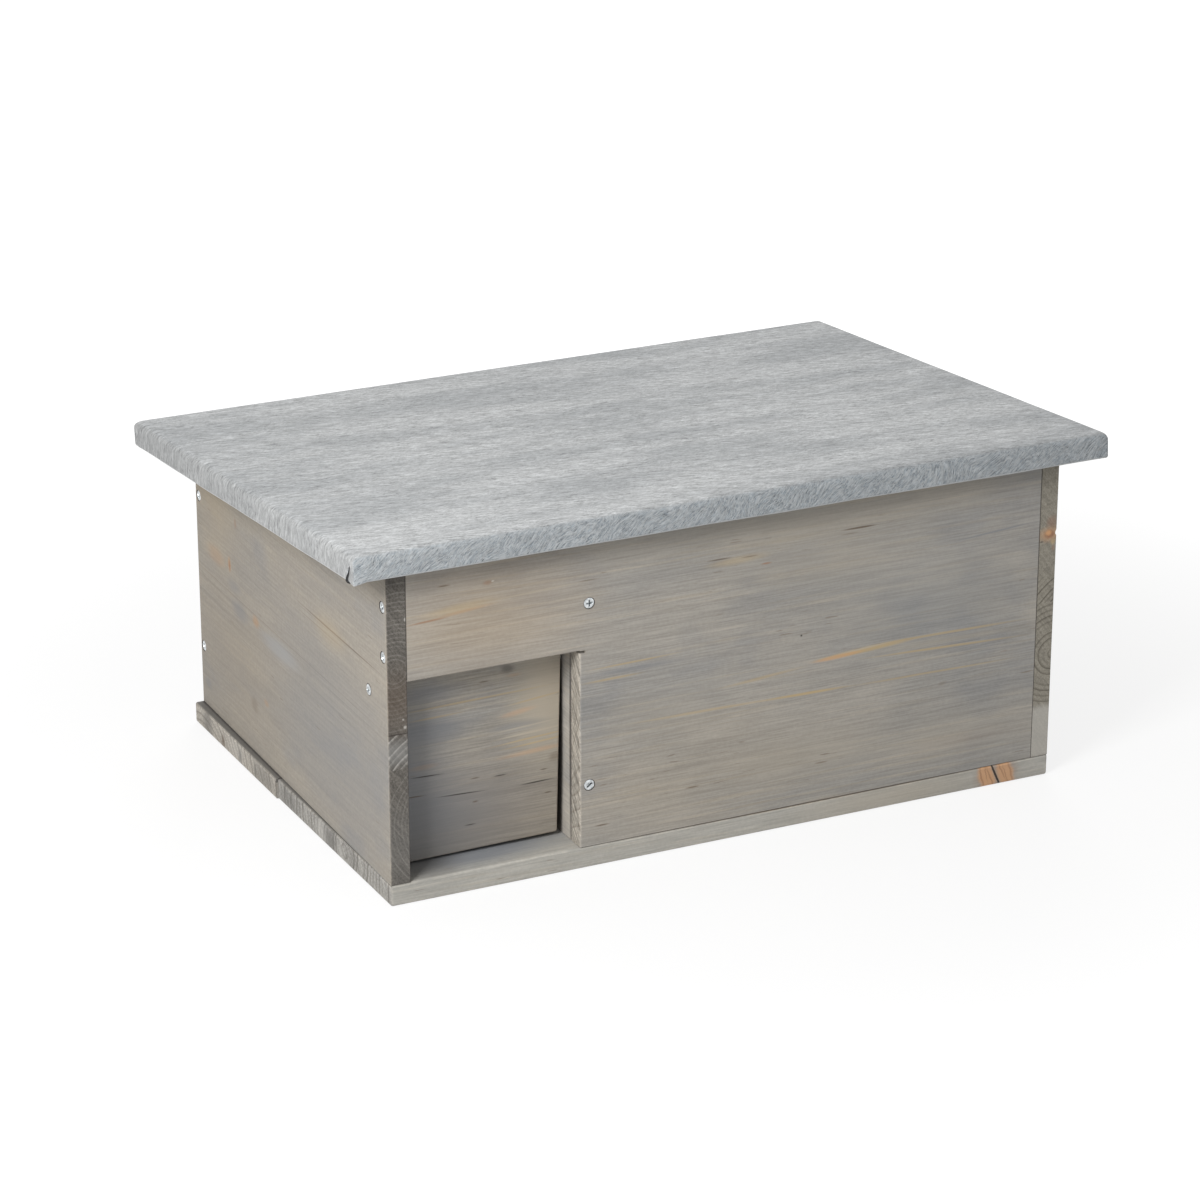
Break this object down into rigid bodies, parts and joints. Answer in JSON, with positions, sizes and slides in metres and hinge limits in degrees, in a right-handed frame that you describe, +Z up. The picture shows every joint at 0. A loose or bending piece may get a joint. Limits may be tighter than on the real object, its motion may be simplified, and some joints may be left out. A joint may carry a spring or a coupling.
{
  "type": "hedgehog house",
  "caption": "Low stained-pine hedgehog house with a sloping felt-covered roof that hinges up at the back, and a corner entrance with a swinging flap and an inner corridor wall.",
  "frame": {"origin": "on the ground, under the middle of the roof's outline", "axes": "+X to the right along the front, +Y from the entrance side to the back, +Z up"},
  "size_m": [0.46, 0.3401, 0.2101],
  "materials": {
    "stained_pine": "matt grey stain over pine",
    "roofing_felt": "matt fibrous felt",
    "zinc_plate": "bright zinc plate"
  },
  "bodies": {
    "house": {"base_front_board": "stained_pine", "base_rear_board": "stained_pine", "left_wall": "stained_pine", "right_wall": "stained_pine", "front_panel": "stained_pine", "rear_wall": "stained_pine", "partition": "stained_pine", "wall_hinge_leaf_left": "zinc_plate", "wall_hinge_leaf_right": "zinc_plate", "hinge_pin_left": "zinc_plate", "hinge_pin_right": "zinc_plate", "wall_leaf_screws": "zinc_plate", "partition_screws": "zinc_plate", "left_wall_screws": "zinc_plate", "right_wall_screws": "zinc_plate", "base_screws": "zinc_plate"},
    "flap": {"flap": "stained_pine", "flap_pivot_screw_left": "zinc_plate", "flap_pivot_screw_right": "zinc_plate"},
    "roof": {"roof_board": "stained_pine", "roof_felt": "roofing_felt", "roof_hinge_leaf_left": "zinc_plate", "roof_hinge_leaf_right": "zinc_plate", "roof_leaf_screws": "zinc_plate"}
  },
  "joints": [
    {"name": "flap_swing", "type": "hinge", "parent": "house", "child": "flap", "pos_m": [-0.14425, -0.13056, 0.118], "axis": [1, 0, 0], "range_deg": [-85, 85]},
    {"name": "roof_lift", "type": "hinge", "parent": "house", "child": "roof", "pos_m": [0, 0.13504, 0.16722], "axis": [-1, 0, 0], "range_deg": [0, 90]}
  ]
}
